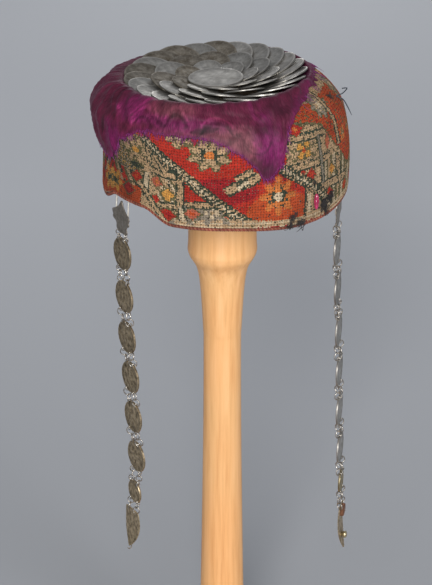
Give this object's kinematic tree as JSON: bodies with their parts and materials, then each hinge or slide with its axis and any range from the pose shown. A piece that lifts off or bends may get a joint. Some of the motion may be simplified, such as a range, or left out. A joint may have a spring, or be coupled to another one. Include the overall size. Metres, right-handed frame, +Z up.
{
  "type": "bridal coin headdress on wooden display stand",
  "caption": "Small round embroidered cloth cap with a torn silk cover, a rosette of overlapping coins and hanging coin chains, on a turned wooden stand.",
  "frame": {"origin": "on the floor, at the middle of the underside of the stand's foot", "axes": "+Z up along the stand, -Y towards the front of the cap, +X to the right seen from the front"},
  "size_m": [0.1892, 0.1818, 0.51],
  "materials": {
    "wood": "satin oiled",
    "embroidered_cloth": "cross-stitched wool on canvas",
    "silk": "worn damask",
    "hem_cord": "twisted wool cord",
    "silver": "worn tarnished silver",
    "dark_wire": "dark wire",
    "pink_glass": "gloss"
  },
  "bodies": {
    "root": {"stand_base": "wood", "stand_post": "wood", "cap_wall": "embroidered_cloth", "cap_shoulder": "embroidered_cloth", "cap_crown": "embroidered_cloth", "silk_cover": "silk", "hem_binding": "hem_cord", "chain_left": "silver", "chain_right": "silver", "bent_pin": "dark_wire", "glass_bead": "pink_glass", "coin_outer_01": "silver", "coin_outer_02": "silver", "coin_outer_03": "silver", "coin_outer_04": "silver", "coin_outer_05": "silver", "coin_outer_06": "silver", "coin_outer_07": "silver", "coin_outer_08": "silver", "coin_outer_09": "silver", "coin_outer_10": "silver", "coin_outer_11": "silver", "coin_outer_12": "silver", "coin_outer_13": "silver", "coin_outer_14": "silver", "coin_outer_15": "silver", "coin_outer_16": "silver", "coin_outer_17": "silver", "coin_outer_18": "silver", "coin_outer_19": "silver", "coin_outer_20": "silver", "coin_outer_21": "silver", "coin_outer_22": "silver", "coin_outer_23": "silver", "coin_middle_01": "silver", "coin_middle_02": "silver", "coin_middle_03": "silver", "coin_middle_04": "silver", "coin_middle_05": "silver", "coin_middle_06": "silver", "coin_middle_07": "silver", "coin_middle_08": "silver", "coin_middle_09": "silver", "coin_middle_10": "silver", "coin_middle_11": "silver", "coin_middle_12": "silver", "coin_inner_01": "silver", "coin_inner_02": "silver", "coin_inner_03": "silver", "coin_inner_04": "silver", "coin_inner_05": "silver", "coin_inner_06": "silver", "coin_inner_07": "silver", "coin_inner_08": "silver", "coin_centre": "silver"}
  },
  "joints": []
}
